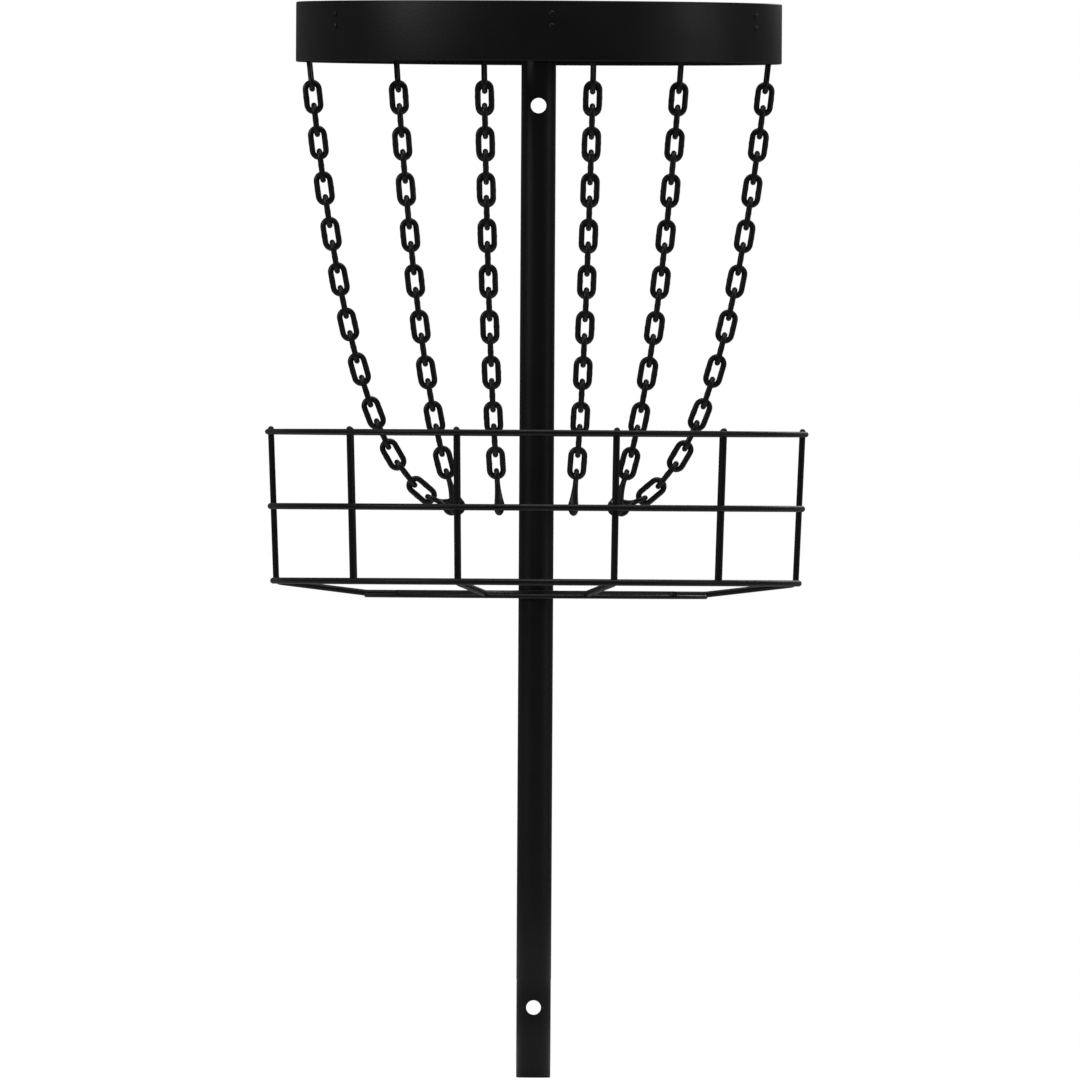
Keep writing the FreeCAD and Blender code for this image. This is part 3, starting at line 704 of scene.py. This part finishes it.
def make_turned(node, name, corner_radius):
    """Rebuild a plain collar or ring of the frame with rounded corners."""
    low, high = box(node)
    points, _ = node_mesh(node)
    inner = axis_distance(points).min()
    corners = [(inner, low.z), (high.x, low.z), (high.x, high.z), (inner, high.z)]
    shape = Shape()
    shape.add(*lathe(rounded_outline(corners, corner_radius), segments=192))
    shape.make(name, "frame", "powder_coat", [node])


def make_cap():
    """Moulded plug with a softly crowned head and four sealing ribs."""
    low, high = box("pole_cap")
    rim = high.x
    pole_top = box("pole")[1].z
    crown = high.z - pole_top
    points, _ = node_mesh("pole_cap")
    plug_radius = axis_distance(points[np.abs(points[:, 2] - low.z) < 0.01 * MM]).max()

    # the crown is a flattened dome that stands on an upright edge
    steps = 12
    edge_share = 0.35
    flatness, fullness = 0.6, 0.8
    profile = [(0, high.z)]
    for step in range(1, steps + 1):
        turn = QUARTER_TURN * step / steps
        rise = edge_share + (1 - edge_share) * math.cos(turn) ** fullness
        profile.append((rim * math.sin(turn) ** flatness, pole_top + crown * rise))
    corner = 0.4 * MM
    profile += [(rim, pole_top + corner), (rim - corner, pole_top), (plug_radius, pole_top)]
    rib_pitch = 4 * MM
    rib_depth = 0.9 * MM
    rib_count = 4
    for rib in range(rib_count):
        level = pole_top - (rib + 1) * rib_pitch
        profile += [(plug_radius - rib_depth, level + 1.2 * MM), (plug_radius, level + 0.8 * MM)]
        profile += [(plug_radius, level)]
    profile += [(plug_radius - 1.5 * MM, low.z), (0, low.z)]

    shape = Shape()
    shape.add(*lathe_solid(profile, segments=96, centre=Vector(), side=RIGHT, axis=UP))
    shape.make("pole_cap_plug", "frame", "cap_plastic", ["pole_cap"])


# ---- chains ----

STRAIGHT_STEPS = 8
BEND_STEPS = 12
WIRE_SIDES = 16

Link = namedtuple("Link", "height centre along across normal half_length half_width wire")


def links_of(node):
    """Every link of a chain, top first, with its own axes and sizes found from its solid's symmetry."""
    links = []
    for points in solids_of(node):
        height = (points[:, 2].max() + points[:, 2].min()) / 2
        centre = points.mean(axis=0)
        spread = points - centre
        _, vectors = np.linalg.eigh(spread.T @ spread)
        axes = [vectors[:, index] for index in (2, 1, 0)]
        half_sizes = [np.abs(spread @ axis).max() for axis in axes]
        links.append(Link(height, Vector(centre), *(Vector(axis) for axis in axes), *half_sizes))
    return sorted(links, key=lambda link: -link.height)


def add_link(shape, link, seed):
    """Round wire in a long loop, with a butt weld dressed on one side and rubbed inner ends."""
    source = random.Random(seed)
    weld_side = source.choice((-1, 1))
    weld_place = source.uniform(-1.5, 1.5) * MM
    weld_height = 0.32 * MM
    weld_spread = 1.7 * MM
    bend = link.half_width - link.wire
    straight = link.half_length - link.half_width

    # round the loop: the wire's middle, the way it faces outward, its radius there and how far it's worn
    stations = []
    for side, facing in ((1, 0.0), (-1, math.pi)):
        for step in range(STRAIGHT_STEPS + 1):
            y = side * (2 * straight * step / STRAIGHT_STEPS - straight)
            radius = link.wire
            if side == weld_side:
                radius += weld_height * math.exp(-((y - weld_place) / weld_spread) ** 2)
            stations.append((Vector((side * bend, y)), facing, radius, 0.0))
        for step in range(1, BEND_STEPS):
            turn = facing + math.pi * step / BEND_STEPS
            middle = Vector((math.cos(turn) * bend, side * straight + math.sin(turn) * bend))
            stations.append((middle, turn, link.wire, math.sin(turn) ** 2))

    points, worn = [], []
    for middle, turn, radius, end in stations:
        outward = Vector((math.cos(turn), math.sin(turn)))
        for step in range(WIRE_SIDES):
            angle = FULL_TURN * step / WIRE_SIDES
            flat = middle + outward * (radius * math.cos(angle))
            rise = radius * math.sin(angle)
            points.append(link.centre + link.across * flat.x + link.along * flat.y + link.normal * rise)
            worn.append(max(0.0, -math.cos(angle)) ** 2 * end)
    shape.add(points, grid_faces(len(stations), WIRE_SIDES, close_rows=True), worn)


def make_chains():
    """One piece for each chain's run of links, riding on that chain's body."""
    for number in range(1, CHAIN_COUNT + 1):
        body = f"chain_{number:02d}"
        shape = Shape()
        for index, link in enumerate(links_of(f"{body}_links")):
            add_link(shape, link, number * 100 + index)
        shape.make(f"{body}_link_run", body, "chain_steel", [f"{body}_links"], smooth_angle=60)


# ---- welds ----

def add_weld_pair(shape, azimuth, radius, height, half_gap, sizes, seeds):
    """Two lumps of weld metal, one on each side of a wire that crosses a ring."""
    outward, tangent = ring_axes(azimuth)
    for side in (-1, 1):
        centre = at_azimuth(radius, azimuth, height) + tangent * (side * half_gap)
        shape.add(*blob(centre, (outward, tangent, UP), sizes, next(seeds), rough=0.12))


def make_cage_welds():
    """Weld metal at every crossing of the cage's wires and where the spokes meet the hub."""
    shape = Shape()
    seeds = itertools.count(1)
    ribs, uprights, spokes = (
        [azimuth_of(points) for points in solids_of(node)]
        for node in ("cage_ribs", "cage_uprights", "floor_spokes")
    )
    spoke_low, spoke_high = box("floor_spokes")
    rib_wire = (spoke_high.z - spoke_low.z) / 2
    for ring in ("rim_ring", "middle_ring", "bottom_ring"):
        radius, wire, height = ring_size(ring)
        inside, half_gap = radius - wire * 0.82, rib_wire * 1.02
        sizes = (1.9 * MM, 2.4 * MM, 2.5 * MM)
        for azimuth in ribs + uprights:
            add_weld_pair(shape, azimuth, inside, height, half_gap, sizes, seeds)
    for ring in ("floor_ring", "inner_floor_ring"):
        radius, wire, height = ring_size(ring)
        above, half_gap = height + wire * 0.7, rib_wire * 0.9
        sizes = (2.2 * MM, 2.0 * MM, 1.6 * MM)
        for azimuth in ribs + spokes:
            add_weld_pair(shape, azimuth, radius, above, half_gap, sizes, seeds)
    hub_wall = box("basket_hub")[1].x + 0.4 * MM
    for azimuth in ribs + spokes:
        centre = at_azimuth(hub_wall, azimuth, spoke_high.z - rib_wire)
        axes = (*ring_axes(azimuth), UP)
        sizes = (2.2 * MM, 4.7 * MM, 3.2 * MM)
        shape.add(*blob(centre, axes, sizes, next(seeds), rough=0.1, rows=12, columns=20))
    shape.make("cage_weld_beads", "frame", "powder_coat")


def ring_middle(node):
    """Radius halfway across a flat ring."""
    points, _ = node_mesh(node)
    distance = axis_distance(points)
    return (distance.min() + distance.max()) / 2


def weld_arms(shape, seeds):
    """Each arm to the collar, up both its sides, and to the two hanger rings, along both its sides."""
    half_arm = 2.5 * MM
    end_gap = 1.5 * MM
    hub_weld, hub_pitch = 1.9 * MM, 1.3 * MM
    ring_weld, ring_pitch, ring_run = 1.5 * MM, 1.2 * MM, 9 * MM
    hub_radius = box("support_hub")[1].x
    ring_top = box("hanger_ring")[1].z
    arm_low, arm_high = box("support_arms")
    ring_middles = [ring_middle(node) for node in ("hanger_ring", "inner_hanger_ring")]
    for points in solids_of("support_arms"):
        # an arm's azimuth comes from its corners near the collar, clear of its bent tab
        near = points[axis_distance(points) < hub_radius * 1.6]
        outward, tangent = ring_axes(azimuth_of(near))
        for side in (-1, 1):
            foot = outward * (hub_radius + 0.3 * MM) + tangent * (side * (half_arm + 0.5 * MM))
            low = foot + UP * (arm_low.z + end_gap)
            high = foot + UP * (arm_high.z - end_gap)
            weld_run(shape, low, high, hub_weld, hub_pitch, next(seeds))
            for middle in ring_middles:
                seat = outward * (middle + ring_run / 2) + tangent * (side * (half_arm + 0.4 * MM))
                start = seat + UP * (ring_top + 0.2 * MM)
                weld_run(shape, start, start - outward * ring_run, ring_weld, ring_pitch, next(seeds))


def weld_ring_to_band(shape, seeds):
    """Short welds under the outer hanger ring, where it meets the band."""
    count = 24
    half_angle = 0.014
    radius, pitch = 1.4 * MM, 1.1 * MM
    low, high = box("hanger_ring")
    wall = high.x - 0.6 * MM
    level = low.z - 0.2 * MM
    for step in range(count):
        azimuth = FULL_TURN * (step + 0.5) / count
        start = at_azimuth(wall, azimuth - half_angle, level)
        finish = at_azimuth(wall, azimuth + half_angle, level)
        weld_run(shape, start, finish, radius, pitch, next(seeds))


def weld_eyes(shape, seeds):
    """A lump round each of the two ends of every chain eye, under the ring it hangs from."""
    for points in solids_of("chain_eyes"):
        low, high = points.min(axis=0), points.max(axis=0)
        wire = (high[1] - low[1]) / 2
        spread = wire * 1.42
        sizes = (spread, spread, 1.3 * MM)
        for x in (low[0] + wire, high[0] - wire):
            centre = Vector((x, (low[1] + high[1]) / 2, high[2] - 0.3 * MM))
            shape.add(*blob(centre, (RIGHT, BACK, UP), sizes, next(seeds), rough=0.1, rows=10, columns=18))


def make_top_welds():
    """Weld metal on the arms, the outer hanger ring and the chain eyes, as one piece."""
    shape = Shape()
    seeds = itertools.count(1)
    weld_arms(shape, seeds)
    weld_ring_to_band(shape, seeds)
    weld_eyes(shape, seeds)
    shape.make("top_weld_beads", "frame", "powder_coat")


# ---- surroundings ----

def seen_and_lit(tree, seen, lit):
    """A strength that is one value to the camera and another to the light that bounces."""
    rays = tree.nodes.new("ShaderNodeLightPath").outputs["Is Camera Ray"]
    strength = tree.nodes.new("ShaderNodeMapRange")
    tree.links.new(rays, strength.inputs["Value"])
    strength.inputs["To Min"].default_value = lit
    strength.inputs["To Max"].default_value = seen
    return strength.outputs["Result"]


def floor_material():
    """Pale and lightly glowing, so that it takes a soft shadow and fades into the white around it."""
    fade_start, fade_end = 0.5, 2.2
    shader = Shader("pale_floor")
    tree = shader.tree
    glow = seen_and_lit(tree, seen=0.62, lit=0.1)
    shader.finish(Base_Color=rgb(0.8, 0.8, 0.8), Roughness=0.9, Specular_IOR_Level=0.1)
    shader.finish(Emission_Color=rgb(1, 1, 1), Emission_Strength=glow)
    white = shader.node("ShaderNodeEmission", Strength=seen_and_lit(tree, seen=WHITE, lit=WORLD_LIGHT))
    reach = shader.node("ShaderNodeVectorMath", Vector=shader.coords)
    reach.operation = "LENGTH"
    fade = shader.spread(reach.outputs["Value"], fade_start, fade_end)
    blend = tree.nodes.new("ShaderNodeMixShader")
    tree.links.new(fade, blend.inputs["Fac"])
    tree.links.new(shader.main.outputs["BSDF"], blend.inputs[1])
    tree.links.new(white.outputs["Emission"], blend.inputs[2])
    output = next(node for node in tree.nodes if node.type == "OUTPUT_MATERIAL")
    tree.links.new(blend.outputs["Shader"], output.inputs["Surface"])
    return shader.material


def make_floor():
    """A plain pale disc just below the pole's foot, wide enough for a low view."""
    segments = 96
    radius = 6.2
    points = [(0, 0, 0)]
    for step in range(segments):
        angle = FULL_TURN * step / segments
        points.append((radius * math.cos(angle), radius * math.sin(angle), 0))
    mesh = bpy.data.meshes.new("floor")
    mesh.from_pydata(points, [], [(0, 1 + step, 1 + (step + 1) % segments) for step in range(segments)])
    floor = bpy.data.objects.new("floor", mesh)
    floor.location.z = -0.2 * MM
    bpy.context.collection.objects.link(floor)
    mesh.materials.append(floor_material())


def make_world():
    """White to the camera, and a dimmer white for lighting, so that the dark coat keeps its depth."""
    world = bpy.data.worlds.new("studio")
    bpy.context.scene.world = world
    world.use_nodes = True
    tree = world.node_tree
    back = tree.nodes["Background"]
    back.inputs["Color"].default_value = rgb(1.0, 1.0, 1.0)
    tree.links.new(seen_and_lit(tree, seen=WHITE, lit=WORLD_LIGHT), back.inputs["Strength"])


def add_light(name, place, aim, size, power):
    """A round area light that the camera doesn't see; its size is in metres and its power in watts."""
    data = bpy.data.lights.new(name, "AREA")
    data.shape = "DISK"
    data.size = size
    data.energy = power
    light = bpy.data.objects.new(name, data)
    light.location = place
    light.rotation_mode = "QUATERNION"
    light.rotation_quaternion = (Vector(place) - Vector(aim)).to_track_quat("Z", "Y")
    light.visible_camera = False
    bpy.context.collection.objects.link(light)


def make_lights():
    basket = (0, 0, 0.8)
    add_light("overhead", place=(0.3, -0.4, 3.6), aim=(0, 0, 0), size=3.4, power=70.0)
    add_light("key", place=(-2.8, -1.6, 2.2), aim=basket, size=1.2, power=24.0)
    add_light("fill", place=(3.0, -0.8, 1.4), aim=basket, size=1.6, power=9.0)
    add_light("back", place=(1.2, 3.0, 2.4), aim=basket, size=1.8, power=18.0)


def make_camera():
    """Square on to the front but for a slight roll, and far enough away to take in the view's height."""
    data = bpy.data.cameras.new("camera")
    data.sensor_width = SENSOR_WIDTH
    data.lens = LENS
    camera = bpy.data.objects.new("camera", data)
    bpy.context.collection.objects.link(camera)
    bpy.context.scene.camera = camera
    distance = VIEW_HEIGHT / 2 / (SENSOR_WIDTH / 2 / LENS)
    camera.location = (AIM_X, -distance, AIM_Z)
    camera.rotation_mode = "QUATERNION"
    straight = BACK.to_track_quat("-Z", "Y")
    roll = Matrix.Rotation(math.radians(ROLL), 4, "Y").to_quaternion()
    camera.rotation_quaternion = roll @ straight
    data.clip_start = 1.0
    data.clip_end = distance + 20.0


finish_cad_nodes()
make_pole()
make_band()
make_rivets()
make_turned("support_hub", "support_hub_collar", 1.0 * MM)
make_turned("hanger_ring", "hanger_ring_plate", 0.5 * MM)
make_turned("inner_hanger_ring", "inner_hanger_ring_plate", 0.5 * MM)
make_turned("basket_hub", "basket_hub_collar", 0.8 * MM)
make_cap()
make_chains()
make_cage_welds()
make_top_welds()
make_floor()
make_world()
make_lights()
make_camera()
bpy.context.scene.view_settings.view_transform = "Standard"

bpy.context.view_layer.update()
